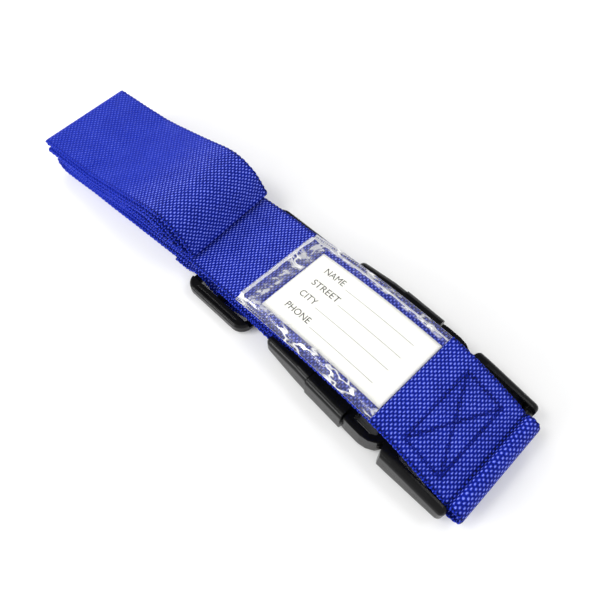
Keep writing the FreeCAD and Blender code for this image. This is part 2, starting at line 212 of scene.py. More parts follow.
def webbing_material(name, pressed_before=None):
    """Polypropylene webbing: staggered pebbles, fine filaments, ribbed selvages; painted shade in the pits of
    the weave and painted glints on its crests, and painted shade in seams, in the groove at the roll and on
    the rims.

    At lower x than pressed_before, in metres, the pattern is fainter."""
    s = Shader(name, Specular_IOR_Level=0.22, Specular_Tint=BLUE_GLOSS)
    uv = s.node("ShaderNodeUVMap", uv_map="weave").outputs["UV"]
    split = s.split(uv)
    along, across = split["X"], split["Y"]
    drift = s.math("MULTIPLY", s.math("SUBTRACT", s.noise(uv, 0.35, 2.0), 0.5), 1.1)
    along_moved = s.math("ADD", along, drift)
    row = s.math("COSINE", s.math("MULTIPLY", along_moved, math.pi / ROW_PITCH))
    column = s.math("COSINE", s.math("MULTIPLY", across, math.pi / COLUMN_PITCH))
    lattice = s.math("MULTIPLY", row, column)
    every_row = s.math("COSINE", s.math("MULTIPLY", along_moved, 2 * math.pi / ROW_PITCH))
    pebble = s.math("MULTIPLY_ADD", every_row, 0.15, s.math("MULTIPLY_ADD", lattice, 0.35, 0.5))
    pebble = s.math("POWER", pebble, 0.95)
    edge = s.span(s.math("ABSOLUTE", across), WEB_WIDTH / 2 - 0.8, WEB_WIDTH / 2 - 0.4, 0.0, 1.0)
    rib = s.math("COSINE", s.math("MULTIPLY", along_moved, 2 * math.pi / RIB_PITCH))
    rib_height = s.math("MULTIPLY_ADD", rib, 0.2, 0.6)
    mix = s.node("ShaderNodeMix", data_type="FLOAT")
    s.put(mix.inputs["Factor"], edge)
    s.put(mix.inputs["A"], pebble)
    s.put(mix.inputs["B"], rib_height)
    height = mix.outputs["Result"]
    threads = s.noise(uv, 1.0, 3.0, stretch=(1.6, 7.5, 1.0))
    patches = s.noise(uv, 0.09, 3.0)
    # Painted shade: darker where seams and needle holes pull the webbing in, in the groove at the roll and on
    # the rounded rims between plies.
    painted_seam_and_rim_shade = s.node("ShaderNodeAttribute", attribute_name="painted_seam_and_rim_shade").outputs["Fac"]
    tone = s.math("MULTIPLY_ADD", s.math("SUBTRACT", threads, 0.5), 0.55, height)
    tone = s.math("MULTIPLY_ADD", s.math("SUBTRACT", patches, 0.5), 0.25, tone)
    tone = s.math("MULTIPLY_ADD", painted_seam_and_rim_shade, -0.24, tone)
    if pressed_before is not None:
        place_x = s.split(s.place())["X"]
        contrast = s.span(place_x, pressed_before - 0.014, pressed_before + 0.012, 0.42, 1.0)
        middle = 0.56
        tone = s.math("MULTIPLY_ADD", s.math("SUBTRACT", tone, middle), contrast, middle)
    # Painted shade and light: the lowest stop darkens the pits of the weave, and the highest paints glints on
    # the pebbles' crests.
    shades = [
        (0.12, (0.0001, 0.0004, 0.016)),
        (0.40, (0.0020, 0.0095, 0.26)),
        (0.66, (0.013, 0.038, 0.54)),
        (0.88, (0.22, 0.27, 0.92)),
    ]
    s.put(s.bsdf.inputs["Base Color"], s.ramp(tone, shades))
    s.put(s.bsdf.inputs["Roughness"], s.span(tone, 0.0, 1.0, 0.7, 0.4))
    relief = s.math("ADD", height, s.math("MULTIPLY", threads, 0.22))
    s.put(s.bsdf.inputs["Normal"], s.bump(relief, 0.00055, 1.0))
    return s.material


def plastic_material():
    """Moulded acetal: dark, glossy, fine spark texture, softened edges, a parting line at half height."""
    s = Shader("black_plastic", Specular_IOR_Level=0.17)
    coordinates = s.place()
    facing_z = s.split(s.node("ShaderNodeNewGeometry").outputs["Normal"])["Z"]
    off_middle = s.math("ABSOLUTE", s.math("SUBTRACT", s.split(coordinates)["Z"], MID_Z * MM))
    line = s.span(off_middle, 0.00006, 0.00022, 1.0, 0.0)
    upright = s.span(s.math("ABSOLUTE", facing_z), 0.2, 0.3, 1.0, 0.0)
    line = s.math("MULTIPLY", line, upright)
    grain = s.noise(coordinates, 4200.0, 2.0)
    clouds = s.noise(coordinates, 160.0, 4.0)
    scuffs = s.noise(coordinates, 900.0, 3.0, stretch=(0.25, 2.0, 2.0))
    softened = s.node("ShaderNodeBevel", samples=4)
    softened.inputs["Radius"].default_value = 0.0005
    tone = s.math("ADD", s.math("MULTIPLY", clouds, 0.6), s.math("MULTIPLY", scuffs, 0.4))
    tone = s.math("SUBTRACT", tone, s.math("MULTIPLY", line, 0.4), clamp=True)
    shades = [(0.15, (0.0015, 0.0015, 0.0018)), (0.6, (0.004, 0.004, 0.0045)), (1.0, (0.010, 0.010, 0.011))]
    s.put(s.bsdf.inputs["Base Color"], s.ramp(tone, shades))
    s.put(s.bsdf.inputs["Roughness"], s.span(tone, 0.2, 0.8, 0.14, 0.28))
    relief = s.math("SUBTRACT", s.math("MULTIPLY", grain, 0.12), line)
    s.put(s.bsdf.inputs["Normal"], s.bump(relief, 0.00012, 0.6, softened.outputs["Normal"]))
    return s.material


def vinyl_material():
    """Clear soft film: mirrors the light in ripples; where no card is below it, white streaks along crease
    lines and a faint whitening are painted glare.
    """
    ior = 1.5
    pale = (0.97, 0.97, 0.97, 1.0)
    s = Shader("clear_vinyl", Base_Color=pale, Roughness=0.1, IOR=ior, Specular_IOR_Level=1.0)
    coordinates = s.place()
    ripples = s.noise(coordinates, 260.0, 3.0, stretch=(0.45, 1.0, 1.0))
    dimples = s.noise(coordinates, 1300.0, 2.0)
    relief = s.math("ADD", ripples, s.math("MULTIPLY", dimples, 0.12))
    normal = s.bump(relief, 0.0005, 0.5)
    s.put(s.bsdf.inputs["Normal"], normal)
    gloss = s.node("ShaderNodeFresnel")
    gloss.inputs["IOR"].default_value = ior
    s.put(gloss.inputs["Normal"], normal)
    place = s.split(coordinates)
    card_middle = (RUN_TURN[0][1] + CARD_OFFSET) * MM
    from_middle = s.math("ABSOLUTE", s.math("SUBTRACT", place["Y"], card_middle))
    beside = s.span(from_middle, (CARD_WIDTH / 2 + 0.3) * MM, (CARD_WIDTH / 2 + 1.7) * MM, 0.0, 1.0)
    before = s.span(place["X"], (CARD_FROM_X - 1.8) * MM, (CARD_FROM_X - 0.4) * MM, 1.0, 0.0)
    loose = s.math("MAXIMUM", beside, before)
    # Painted glare: white streaks along crease lines that come and go, and a faint painted haze, only where
    # the film is loose.
    folds = s.noise(coordinates, 210.0, 2.0, stretch=(0.5, 1.0, 1.0))
    crease = s.span(s.math("ABSOLUTE", s.math("SUBTRACT", folds, 0.5)), 0.012, 0.045, 1.0, 0.0)
    comes_and_goes = s.span(s.noise(coordinates, 75.0, 2.0), 0.42, 0.56, 0.0, 1.0)
    painted_haze = s.span(s.noise(coordinates, 700.0, 4.0, stretch=(0.3, 1.0, 1.0)), 0.5, 0.8, 0.0, 0.12)
    painted_glare = s.math("MULTIPLY_ADD", s.math("MULTIPLY", crease, comes_and_goes), 0.7, painted_haze)
    mirrored = s.math("MULTIPLY", gloss.outputs[0], s.math("MULTIPLY_ADD", loose, 0.65, 0.25))
    share = s.math("MULTIPLY_ADD", painted_glare, loose, mirrored, clamp=True)
    clear = s.node("ShaderNodeBsdfTransparent")
    clear.inputs["Color"].default_value = (0.995, 0.995, 0.99, 1.0)
    mix = s.node("ShaderNodeMixShader")
    s.put(mix.inputs[0], share)
    s.put(mix.inputs[1], clear.outputs[0])
    s.put(mix.inputs[2], s.bsdf.outputs[0])
    s.put(s.output.inputs["Surface"], mix.outputs[0])
    return s.material


def card_material():
    """Uncoated card: off-white, with fine fibres."""
    s = Shader("white_card", Roughness=0.75, Specular_IOR_Level=0.3)
    coordinates = s.place()
    fibres = s.noise(coordinates, 2600.0, 4.0, stretch=(0.5, 1.3, 1.0))
    clouds = s.noise(coordinates, 90.0, 3.0)
    tone = s.math("ADD", s.math("MULTIPLY", fibres, 0.6), s.math("MULTIPLY", clouds, 0.4))
    whites = [(0.3, (0.92, 0.915, 0.875)), (0.7, (0.965, 0.96, 0.92))]
    s.put(s.bsdf.inputs["Base Color"], s.ramp(tone, whites))
    s.put(s.bsdf.inputs["Normal"], s.bump(fibres, 0.00005, 0.3))
    return s.material


def ink_material(name, grey):
    """Printing ink, uneven as it dries on card."""
    s = Shader(name, Roughness=0.6, Specular_IOR_Level=0.2)
    coordinates = s.place()
    patches = s.noise(coordinates, 3000.0, 3.0)
    s.put(s.bsdf.inputs["Base Color"], s.ramp(patches, [(0.35, (grey,) * 3), (0.75, (grey * 1.9,) * 3)]))
    return s.material


def thread_material():
    """Sewing thread: plied strands, darker in the grooves between them as painted shade and lighter on their
    crests as painted highlight.
    """
    s = Shader("blue_thread", Roughness=0.5, Specular_IOR_Level=0.15, Specular_Tint=BLUE_GLOSS)
    uv = s.node("ShaderNodeUVMap", uv_map="weave").outputs["UV"]
    split = s.split(uv)
    turns = s.math("ADD", s.math("MULTIPLY", split["X"], 9.0), s.math("MULTIPLY", split["Y"], 2.0))
    ply = s.math("ABSOLUTE", s.math("SINE", s.math("MULTIPLY", turns, math.pi)))
    blues = [(0.1, (0.001, 0.002, 0.05)), (0.9, (0.006, 0.014, 0.30))]
    s.put(s.bsdf.inputs["Base Color"], s.ramp(ply, blues))
    s.put(s.bsdf.inputs["Normal"], s.bump(ply, 0.0001, 0.7))
    return s.material


# --- webbing ---------------------------------------------------------------------------------


def ply_z(level, place):
    """Height of a ply: the bundle lies in three levels of four."""
    return LOWEST_PLY_Z + PLY_PITCH * (4 * level + place)


def arc_points(cx, cz, radius, start, end):
    """Points on an arc in the xz plane, from one angle in degrees to another, at most 18 degrees apart."""
    count = max(2, math.ceil(abs(end - start) / 18.0))
    angles = [math.radians(start + (end - start) * i / count) for i in range(count + 1)]
    return [(cx + radius * math.cos(a), cz + radius * math.sin(a)) for a in angles]


def right_loop(nest):
    """The turn at the bundle's right end, from the top plies to the middle ones; 0 is the outermost."""
    n, top = nest, ply_z(2, 3 - nest)
    low = TONGUE_Z + 1.8 + (PLY_PITCH + 0.1) * n
    lift = 0.9 * (1 - n / 3)
    tip_x, tip_z = -91.5 - 4.8 * n - 0.35 * n**2, low + lift + 1.3
    upper = [(-175, top), (-160, top + 0.3), (-150, top + 1.9), (-137, top + 4.4 - 0.15 * n)]
    crown = [(-123 - 1.5 * n, 24.0 - 1.9 * n), (-115 - 2.2 * n, 25.7 - 2.1 * n)]
    crown += [(-107 - 3.7 * n, 25.9 - 2.2 * n), (-100 - 4.8 * n, 23.4 - 1.8 * n)]
    tip = arc_points(tip_x, tip_z, 1.3, 50, -90)
    bulge = 0.55 * (1 - n / 3)
    drop = [((crown[-1][0] + tip[0][0]) / 2 + bulge, (crown[-1][1] + tip[0][1]) / 2 + bulge)]
    lower = [(tip_x - 7, low + 0.15), (-134, low - 0.1)]
    ramp = [(-146, low - 2.0), (-157, ply_z(1, n)), (-168, ply_z(1, n))]
    return upper + crown + drop + tip + lower + ramp


def lower_fold(nest):
    """The turn at the left end between the lowest and the middle plies; 0 is the innermost."""
    centre = (ply_z(0, 3) + ply_z(1, 0)) / 2
    return arc_points(LOWER_FOLD_X, centre, PLY_PITCH * (nest + 0.5), 90, 270)


def top_fold(x, lower_place):
    """The turn at the left end between two neighbouring plies at the top."""
    centre = (ply_z(2, lower_place) + ply_z(2, lower_place + 1)) / 2
    return arc_points(x, centre, PLY_PITCH / 2, 90, 270)


def bundle_path():
    """The folded plies as (x, z, sideways shift): each stretch lies a little to one side of its neighbour."""
    stretches = [
        ([(-168, ply_z(0, 3)), (-157, ply_z(0, 3) - 0.05), (-146, 6.9), (-134, TONGUE_Z)][::-1], 0.0),
        (lower_fold(0)[::-1], -0.2),
        (right_loop(0)[::-1], 0.0),
        (top_fold(TOP_FOLD_X, 2), -0.1),
        (right_loop(1), -0.9),
        (lower_fold(1), -0.7),
        ([(-168, ply_z(0, 2)), (-157, ply_z(0, 2)), (-134, 5.9), (-112, 6.5)], -0.2),
        (arc_points(-97.0, 4.5, 2.05, 90, -90), 0.1),
        ([(-112, 2.3), (-130, ply_z(0, 1)), (-165, ply_z(0, 1))], -0.4),
        (lower_fold(2)[::-1], -1.0),
        (right_loop(2)[::-1], -1.5),
        (top_fold(SECOND_FOLD_X, 0), -1.7),
        (right_loop(3), -1.1),
        (lower_fold(3), -0.6),
        ([(-165, ply_z(0, 0)), (-130, ply_z(0, 0)), (-92, ply_z(0, 0))], 0.0),
    ]
    return [(x, z, shift) for points, shift in stretches for x, z in points]


def run_path():
    """From inside the bundle, over the buckle, round the socket's tail bar and back as the tab."""
    tongue = [(TONGUE_END_X, TONGUE_Z), (-120, TONGUE_Z), (-105, TONGUE_Z), (-97, TONGUE_Z)]
    rise = [(-90, 9.6), (-85, 10.4), (-77, 11.5), (-73, 11.95), (-67, 12.45)]
    steps = [ARC_FROM_X + (ARC_TO_X - ARC_FROM_X) * i / 8 for i in range(9)]
    arch = [(x, ARC_Z + math.sqrt(ARC_RADIUS**2 - (x - ARC_X) ** 2)) for x in steps]
    fall = [(20, 19.3), (24, 18.9), (30, 17.95), (38, 15.85), (44, 13.6), (48.2, 11.3)]
    fall += [(51.2, 8.6), (53.2, 5.6), (55.4, 3.4), (58, 2.75)]
    roll = arc_points(TAIL_BAR_X + 3.6, TAIL_BAR_Z, TAIL_LOOP_RADIUS, -90, 92)
    crease = [(59.3, 10.45), (57.7, 10.75)]
    path = [(x, z, 0.0) for x, z in tongue + rise + arch + fall]
    return path + [(x, z, -0.5) for x, z in roll + crease] + tab_path()


def tab_path():
    """The tab, from the roll back to its end beside the window."""
    tab = [(55.4, 11.9), (51, 13.5), (46, 15.1), (38, 17.6), (30, 19.6), (24, 20.5), (TAB_END_X, 20.9)]
    return [(x, z, -0.5) for x, z in tab]


def adjuster_path():
    """From the bundle over, under and over the slider's bars, round the plug's bar and back."""
    entry = [(ADJUSTER_END_X, LOWEST_PLY_Z), (-95, 1.0), (-90, 2.6), (-87, 4.5), (-84, 5.2)]
    under = [(-80, 4.2), (-75.5, 1.4), (-71, 0.8), (-65, 0.8), (-60.6, 1.1)]
    over = [(-56.5, 3.2), (-53, 4.9), (-50, 5.2), (-46, 5.1), (-39, 4.3), (-34, 3.95)]
    turn = arc_points(PLUG_BAR_X + 1.3, PLUG_BAR_Z, PLUG_LOOP_RADIUS, -90, 90)
    wrap = [(-70.0, 6.0), (-71.4, 4.4), (-70.2, 2.8), (-67, 2.3), (-63.2, 2.3)]
    there = [(x, z, 0.0) for x, z in entry + under + over + turn]
    return there + adjuster_back_path() + [(x, z, 0.0) for x, z in wrap]


def adjuster_back_path():
    """The upper layer of the adjuster run, from the plug's bar back to the slider."""
    return [(x, z, 0.0) for x, z in [(-34, 9.85), (-40, 8.9), (-48, 7.4), (-55, 6.9), (-62, 6.5), (-67, 6.4)]]


def cubic_through(along, values, where):
    """A natural cubic spline through the values, and its slope, at the places asked for."""
    h = np.diff(along)
    count = len(along)
    matrix, right = np.eye(count), np.zeros((count, values.shape[1]))
    slopes = np.diff(values, axis=0) / h[:, None]
    for i in range(1, count - 1):
        matrix[i, i - 1 : i + 2] = h[i - 1], 2 * (h[i - 1] + h[i]), h[i]
        right[i] = 6 * (slopes[i] - slopes[i - 1])
    second = np.linalg.solve(matrix, right)
    k = np.clip(np.searchsorted(along, where, side="right") - 1, 0, count - 2)
    a = ((along[k + 1] - where) / h[k])[:, None]
    b = 1 - a
    hk = h[k][:, None]
    place = a * values[k] + b * values[k + 1]
    place += ((a**3 - a) * second[k] + (b**3 - b) * second[k + 1]) * hk**2 / 6
    slope = slopes[k] + (-(3 * a**2 - 1) * second[k] + (3 * b**2 - 1) * second[k + 1]) * hk / 6
    return place, slope


def path_samples(knots, spacing):
    """Evenly spaced points of the path, its upward side, its sideways shift and the distance along it."""
    longest, part = 9.0, 4.0
    points = [np.array(knots[0], float)]
    for knot in knots[1:]:
        start, end = points[-1], np.array(knot, float)
        step = np.linalg.norm((end - start)[:2])
        count = math.ceil(step / part) if step > longest else 1
        points += [start + (end - start) * (i / count) for i in range(1, count + 1)]
    points = np.array(points)
    along = np.concatenate([[0], np.cumsum(np.linalg.norm(np.diff(points[:, :2], axis=0), axis=1))])
    where = np.linspace(0, along[-1], int(along[-1] / spacing) + 1)
    place, slope = cubic_through(along, points[:, :2], where)
    slope /= np.linalg.norm(slope, axis=1)[:, None]
    shift = np.interp(where, along, points[:, 2])
    reach = int(14 / spacing)
    padded = np.pad(shift, reach, mode="edge")
    shift = np.convolve(padded, np.ones(2 * reach + 1) / (2 * reach + 1), mode="valid")
    side = np.stack([-slope[:, 1], slope[:, 0]], axis=1)
    return place, side, shift, where


def web_section(columns):
    """Half of the webbing's section: (place across, share of its half thickness), rounded selvages."""
    rim = [(0.0, 0.0), (0.1, 0.42), (0.4, 0.75), (0.95, 0.95)]
    half = WEB_WIDTH / 2
    inner = np.linspace(-half + 1.7, half - 1.7, columns)
    left = [(-half + d, w) for d, w in rim]
    right = [(half - d, w) for d, w in rim[::-1]]
    return left + [(v, 1.0) for v in inner] + right


def web_mesh(name, knots, turn, material, columns=9, dents=None, cut=None):
    """Webbing along a path: a closed ribbon with scalloped selvages, its weave coordinates in millimetres.

    dents(points) gives how much sewing pulls there; cut = (from, to) keeps a stretch of the path."""
    centre_y = turn[0][1]
    place, side, shift, along = path_samples(knots, WEB_SPACING)
    if cut:
        keep = (along >= cut[0] - 1e-6) & (along <= cut[1] + 1e-6)
        place, side, shift, along = place[keep], side[keep], shift[keep], along[keep]
    half_section = web_section(columns)
    ring = [(v, w) for v, w in half_section] + [(v, -w) for v, w in half_section[::-1][1:-1]]
    count = len(ring)
    v = np.array([r[0] for r in ring])
    w = np.array([r[1] for r in ring]) * (WEB_THICK / 2 - 0.02)
    rim = smoothstep(WEB_WIDTH / 2 - 1.4, WEB_WIDTH / 2, np.abs(v))
    share = np.abs([r[1] for r in ring])
    # Painted shade on the rounded rims, for the dark gaps between plies.
    painted_rim_shade = 0.9 * (share > 0) * (share < 0.96)
    rings = []
    painted_seam_and_rim_shade = []
    for i in range(len(place)):
        s = along[i]
        scallop = 0.17 * math.sin(2 * math.pi * s / (2 * RIB_PITCH))
        scallop += 0.16 * wobble(s * 0.055, 3.1) + 0.07 * wobble(s * 0.4, 7.7)
        y = centre_y + shift[i] + v + rim * np.sign(v) * scallop + 0.25 * wobble(s * 0.012, 9.4)
        thick = w * (1 + 0.05 * wobble(s * 0.21, 1.3))
        x = place[i, 0] + side[i, 0] * thick
        z = place[i, 1] + side[i, 1] * thick
        points = np.stack([x, y, z], axis=1)
        pull = 0.0
        if dents is not None:
            pull = dents(points) * (side[i, 1] < 0)
            points[:, 2] -= SEAM_DEPTH * pull
        rings.append(points)
        # The pull and the rim amount also darken the colour as painted shade.
        painted_seam_and_rim_shade.append(pull + painted_rim_shade)
    points = turned(np.concatenate(rings), turn)
    faces, uvs = [], []
    total = len(place)
    for i in range(total - 1):
        for j in range(count):
            k = (j + 1) % count
            faces.append((i * count + j, i * count + k, (i + 1) * count + k, (i + 1) * count + j))
            a, b = v[j], v[k]
            uvs += [(along[i], a), (along[i], b), (along[i + 1], b), (along[i + 1], a)]
    faces.append(tuple(range(count))[::-1])
    uvs += [(along[0], v[j]) for j in range(count)][::-1]
    faces.append(tuple((total - 1) * count + j for j in range(count)))
    uvs += [(along[-1], v[j]) for j in range(count)]
    obj = make_object(name, points, faces, material)
    layer = obj.data.uv_layers.new(name="weave")
    layer.data.foreach_set("uv", np.array(uvs, np.float32).ravel())
    attribute = obj.data.attributes.new("painted_seam_and_rim_shade", "FLOAT", "POINT")
    attribute.data.foreach_set("value", np.concatenate(painted_seam_and_rim_shade).astype(np.float32))
    flip_inside_out(obj)
    return obj


def flip_inside_out(obj):
    """Turns the faces outwards if the closed mesh has them inwards."""
    mesh = obj.data
    volume = 0.0
    for polygon in mesh.polygons:
        volume += polygon.center.dot(polygon.normal) * polygon.area
    if volume < 0:
        mesh.flip_normals()


# --- sewing ----------------------------------------------------------------------------------


def tab_seams():
    """The seam lines of the box with both diagonals, in the run's own plan."""
    corners = [(SEW_X0, SEW_Y0), (SEW_X1, SEW_Y0), (SEW_X1, SEW_Y1), (SEW_X0, SEW_Y1)]
    lines = list(zip(corners, corners[1:] + corners[:1]))
    lines.append((corners[0], corners[2]))
    lines.append((corners[3], corners[1]))
    return lines


def seam_dents(lines, centre_y):
    """A function for how strongly points are pulled in: along seams, more at needle holes, at the roll. The
    webbing's colour takes the same amount as painted shade.
    """
    holes = []
    for (x0, y0), (x1, y1) in lines:
        span = math.hypot(x1 - x0, y1 - y0)
        count = int(span / STITCH_PITCH)
        for i in range(count + 1):
            f = i / count
            holes.append((x0 + (x1 - x0) * f, y0 + (y1 - y0) * f))
    holes = np.array(holes)

    def dent(points):
        best = np.zeros(len(points))
        plan = points[:, :2] - np.array([0, centre_y])
        for (x0, y0), (x1, y1) in lines:
            d = np.array([x1 - x0, y1 - y0])
            t = np.clip(((plan - (x0, y0)) @ d) / (d @ d), 0, 1)
            away = np.linalg.norm(plan - (np.array([x0, y0]) + t[:, None] * d), axis=1)
            best = np.maximum(best, 0.6 * np.exp(-((away / 0.75) ** 2)))
        near = np.min(np.linalg.norm(plan[:, None, :] - holes[None], axis=2), axis=1)
        # The groove before the roll: a dip, and painted shade in the colour.
        crease = np.exp(-(((plan[:, 0] - ROLL_CREASE_X) / 0.8) ** 2))
        return best + 0.4 * np.exp(-((near / 0.6) ** 2)) + crease

    return dent


def stitches(name, knots, lines, turn, material):
    """Thread stitches on the upper face of a stretch of path: plied spindles, dipping in at both ends."""
    centre_y = turn[0][1]
    place = path_samples(knots, 0.3)[0]
    order = np.argsort(place[:, 0])
    xs, zs = place[order, 0], place[order, 1]
    points, faces, uvs = [], [], []
    rings, around = 9, 8
    for (x0, y0), (x1, y1) in lines:
        span = math.hypot(x1 - x0, y1 - y0)
        count = int(span / STITCH_PITCH)
        ux, uy = (x1 - x0) / span, (y1 - y0) / span
        for i in range(count):
            middle = span * (i + 0.5) / count + 0.12 * wobble(i * 1.7, x0, y0)
            first = len(points)
            for r in range(rings + 1):
                f = r / rings
                d = middle + (f - 0.5) * (STITCH_PITCH - 0.35)
                bow = math.sin(math.pi * f)
                radius = STITCH_RADIUS * (0.45 + 0.55 * bow**0.6)
                cx, cy = x0 + ux * d, y0 + uy * d
                surface = float(np.interp(cx, xs, zs)) + WEB_THICK / 2
                cz = surface - 0.22 + 0.24 * bow
                for a in range(around):
                    angle = 2 * math.pi * a / around + 2.2 * f
                    swell = radius * (1 + 0.12 * math.cos(2 * angle + 7 * f))
                    off = swell * math.cos(angle)
                    height = cz + 0.75 * swell * math.sin(angle)
                    points.append((cx - uy * off, centre_y + cy + ux * off, height))
            for r in range(rings):
                for a in range(around):
                    b = (a + 1) % around
                    j, k = first + r * around, first + (r + 1) * around
                    faces.append((j + a, j + b, k + b, k + a))
                    u0, u1, v0, v1 = r / rings, (r + 1) / rings, a / around, (a + 1) / around
                    uvs += [(u0, v0), (u0, v1), (u1, v1), (u1, v0)]
            faces.append(tuple(first + a for a in range(around))[::-1])
            faces.append(tuple(first + rings * around + a for a in range(around)))
            uvs += [(0.0, 0.0)] * around + [(1.0, 0.0)] * around
    obj = make_object(name, turned(np.array(points), turn), faces, material)
    layer = obj.data.uv_layers.new(name="weave")
    layer.data.foreach_set("uv", np.array(uvs, np.float32).ravel())
    flip_inside_out(obj)
    return obj


# --- card and window -------------------------------------------------------------------------


def on_arch(x, y, height):
    """A place on the arched run: x along it, y from its middle, height over its upper face."""
    angle = np.arcsin((np.asarray(x, float) - ARC_X) / ARC_RADIUS)
    radius = ARC_RADIUS + WEB_THICK / 2 + np.asarray(height, float)
    px, pz = ARC_X + radius * np.sin(angle), ARC_Z + radius * np.cos(angle)
    points = np.stack(np.broadcast_arrays(px, RUN_TURN[0][1] + np.asarray(y, float), pz), axis=-1)
    return turned(points.reshape(-1, 3), RUN_TURN)


def arched_slab(name, x_list, y_list, low, high, material):
    """A closed slab on the arch, between two height fields of (x, y)."""
    gx, gy = np.meshgrid(x_list, y_list, indexing="ij")
    nx, ny = gx.shape
    top = on_arch(gx.ravel(), gy.ravel(), high(gx, gy).ravel())
    bottom = on_arch(gx.ravel(), gy.ravel(), low(gx, gy).ravel())
    faces = []
    lower = nx * ny
    for i in range(nx - 1):
        for j in range(ny - 1):
            a, b, c, d = i * ny + j, (i + 1) * ny + j, (i + 1) * ny + j + 1, i * ny + j + 1
            faces.append((a, b, c, d))
            faces.append((lower + d, lower + c, lower + b, lower + a))
    rim = [(i, 0) for i in range(nx)] + [(nx - 1, j) for j in range(1, ny)]
    rim += [(i, ny - 1) for i in range(nx - 2, -1, -1)] + [(0, j) for j in range(ny - 2, 0, -1)]
    loop = [i * ny + j for i, j in rim]
    for a, b in zip(loop, loop[1:] + loop[:1]):
        faces.append((a, lower + a, lower + b, b))
    obj = make_object(name, np.concatenate([top, bottom]), faces, material)
    flip_inside_out(obj)
    return obj


def id_card(material):
    xs = np.linspace(CARD_FROM_X, CARD_FROM_X + CARD_LENGTH, 60)
    ys = CARD_OFFSET + np.linspace(-CARD_WIDTH / 2, CARD_WIDTH / 2, 24)

    def low(x, y):
        return np.full_like(x, LAY_GAP)

    def high(x, y):
        inset = np.minimum.reduce([x - xs[0], xs[-1] - x, y - ys[0], ys[-1] - y])
        return LAY_GAP + CARD_THICK - 0.06 * np.exp(-inset / 0.25)

    return arched_slab("card", xs, ys, low, high, material)


def card_print(ink, faint):
    """Field names and writing lines on the card: word, its width, height up the card, the line's ends."""
    low_y = CARD_OFFSET - CARD_WIDTH / 2
    fields = [
        ("NAME", 10.9, 29.3, 20.4, 57.3),
        ("STREET", 15.0, 21.5, 23.4, 57.3),
        ("CITY", 9.0, 14.2, 17.6, 57.3),
        ("PHONE", 13.4, 6.0, 22.5, 56.6),
    ]
    margin, capitals, half_line = 7.5, 3.1, 0.09
    height = LAY_GAP + CARD_THICK + 0.015

    def under_ink(x, y):
        return np.full_like(x, height - 0.01)

    def over_ink(x, y):
        return np.full_like(x, height)

    pieces = []
    for word, width, base, line_from, line_to in fields:
        text = bpy.data.curves.new(word, "FONT")
        text.body = word
        text.resolution_u = 4
        holder = bpy.data.objects.new("lettering", text)
        bpy.context.scene.collection.objects.link(holder)
        bpy.context.view_layer.update()
        mesh = bpy.data.meshes.new_from_object(holder.evaluated_get(bpy.context.evaluated_depsgraph_get()))
        bpy.data.objects.remove(holder)
        flat = np.array([v.co for v in mesh.vertices])
        flat[:, 0] -= flat[:, 0].min()
        flat[:, 0] *= width / flat[:, 0].max()
        flat[:, 1] *= capitals / flat[:, 1].max()
        points = on_arch(CARD_FROM_X + margin + flat[:, 0], low_y + base + flat[:, 1], height)
        faces = [tuple(p.vertices) for p in mesh.polygons]
        pieces.append(make_object("card_word_" + word.lower(), points, faces, ink, smooth=False))
        xs = np.linspace(CARD_FROM_X + line_from, CARD_FROM_X + line_to, 40)
        ys = low_y + base - 0.35 + np.array([-half_line, half_line])
        pieces.append(arched_slab("card_line_" + word.lower(), xs, ys, under_ink, over_ink, faint))
    return pieces


def window_film(material):
    """The clear window: welded down along both selvages, loose over the card, puckered at its open end."""
    xs = np.linspace(FILM_FROM_X, FILM_TO_X, 260)
    weld_from, weld_line, weld_to = 20.6, 23.7, 24.6
    weld = np.linspace(weld_from, weld_to, 26)
    ys = np.concatenate([-weld[::-1], np.linspace(-20.2, 20.2, 64), weld])
    roof = 2 * LAY_GAP + CARD_THICK
    rumple = np.array([[wobble(x * 0.16, y * 0.28, 2.0) for y in ys] for x in xs])
    crinkle = np.array([[wobble(x * 0.55, y * 0.9, 5.0) for y in ys] for x in xs])
    sweep = np.array([wobble(y * 0.12, 4.0) for y in ys])

    def under(x, y):
        out = np.abs(y)
        rise = 1 - smoothstep(20.9, 22.7, out)
        beside_card = smoothstep(-0.5, 1.5, y - CARD_OFFSET - CARD_WIDTH / 2)
        beside_card += smoothstep(-0.5, 1.5, CARD_OFFSET - y - CARD_WIDTH / 2)
        mouth = 1 - smoothstep(CARD_FROM_X - 5.0, CARD_FROM_X + 2.0, x)
        loose = np.clip(0.18 + 0.9 * mouth + 0.8 * beside_card, 0, 1) * rise
        lift = roof * rise + loose * (0.30 + 0.42 * rumple + 0.16 * crinkle)
        lip = 0.75 * rise * np.exp(-(((x - FILM_FROM_X - 2.2 - 0.9 * sweep[None, :]) / 1.3) ** 2))
        ridges = 0.05 * (np.cos(2 * math.pi * x / 1.1) + 1) * np.exp(-(((out - weld_line) / 0.35) ** 2))
        return np.maximum(0.05, lift + lip) + ridges

    def over(x, y):
        return under(x, y) + FILM_THICK

    return arched_slab("window_film", xs, ys, under, over, material)


# --- scene -----------------------------------------------------------------------------------


def dress_cad_nodes(plastic):
    """The hard mouldings keep their CAD shape and take the plastic."""
    for name in ("buckle_socket", "buckle_plug", "latch_arm_left", "latch_arm_right", "strap_slider"):
        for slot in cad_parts[name].material_slots:
            slot.link = "OBJECT"
            slot.material = plastic


